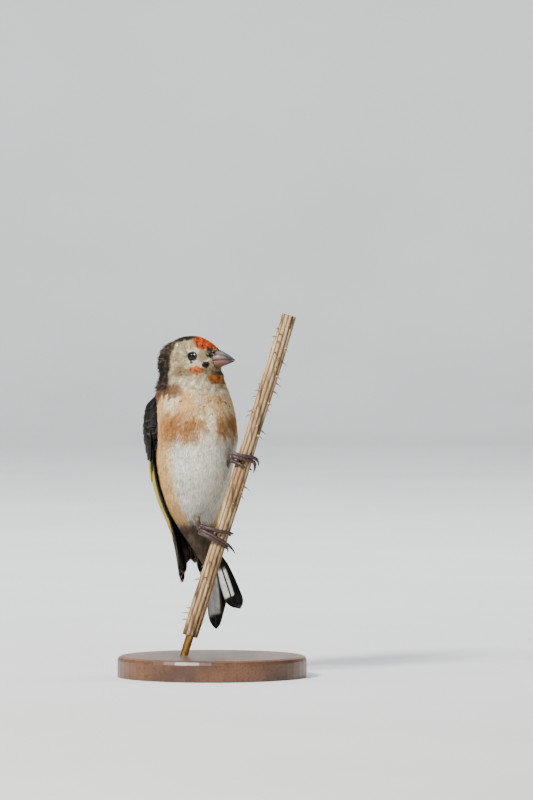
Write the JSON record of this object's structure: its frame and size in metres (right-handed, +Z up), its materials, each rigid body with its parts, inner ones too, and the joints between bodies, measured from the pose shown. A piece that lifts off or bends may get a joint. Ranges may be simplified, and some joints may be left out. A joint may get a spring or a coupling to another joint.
{
  "type": "european goldfinch",
  "caption": "Life-size still model of a European goldfinch clinging upright to a cut length of teasel stem, held by a rod on a round display base.",
  "frame": {"origin": "centre of the stand's underside, on the surface that the stand rests on", "axes": "+Z up, along the bird's upright body; -Y towards the viewer, who sees the breast; +X towards the bird's left, where the bill points"},
  "size_m": [0.072, 0.072, 0.1384],
  "materials": {
    "plumage": "soft matte body feathers, cream, white and tan",
    "flight_feathers": "smooth black vanes with yellow and white markings, slight sheen",
    "horn": "satin pale horn, dark at the tip",
    "eye": "wet dark brown eye",
    "leg_skin": "matte scaled skin, brownish flesh",
    "claw": "satin dark horn",
    "dry_stem": "dry ribbed stem, straw brown",
    "brass": "satin brass rod",
    "wood": "satin dark turned wood"
  },
  "bodies": {
    "root": {"torso": "plumage", "neck": "plumage", "head": "plumage", "bill_upper": "horn", "bill_lower": "horn", "eye_right": "eye", "eye_left": "eye", "wing_right": "flight_feathers", "wing_left": "flight_feathers", "tail": "flight_feathers", "leg_right": "leg_skin", "foot_right": "leg_skin", "leg_left": "leg_skin", "foot_left": "leg_skin", "perch_stem": "dry_stem", "stand_rod": "brass", "stand_base": "wood", "claw_right_inner": "claw", "claw_right_middle": "claw", "claw_right_outer": "claw", "claw_right_hind": "claw", "claw_left_inner": "claw", "claw_left_middle": "claw", "claw_left_outer": "claw", "claw_left_hind": "claw"}
  },
  "joints": []
}
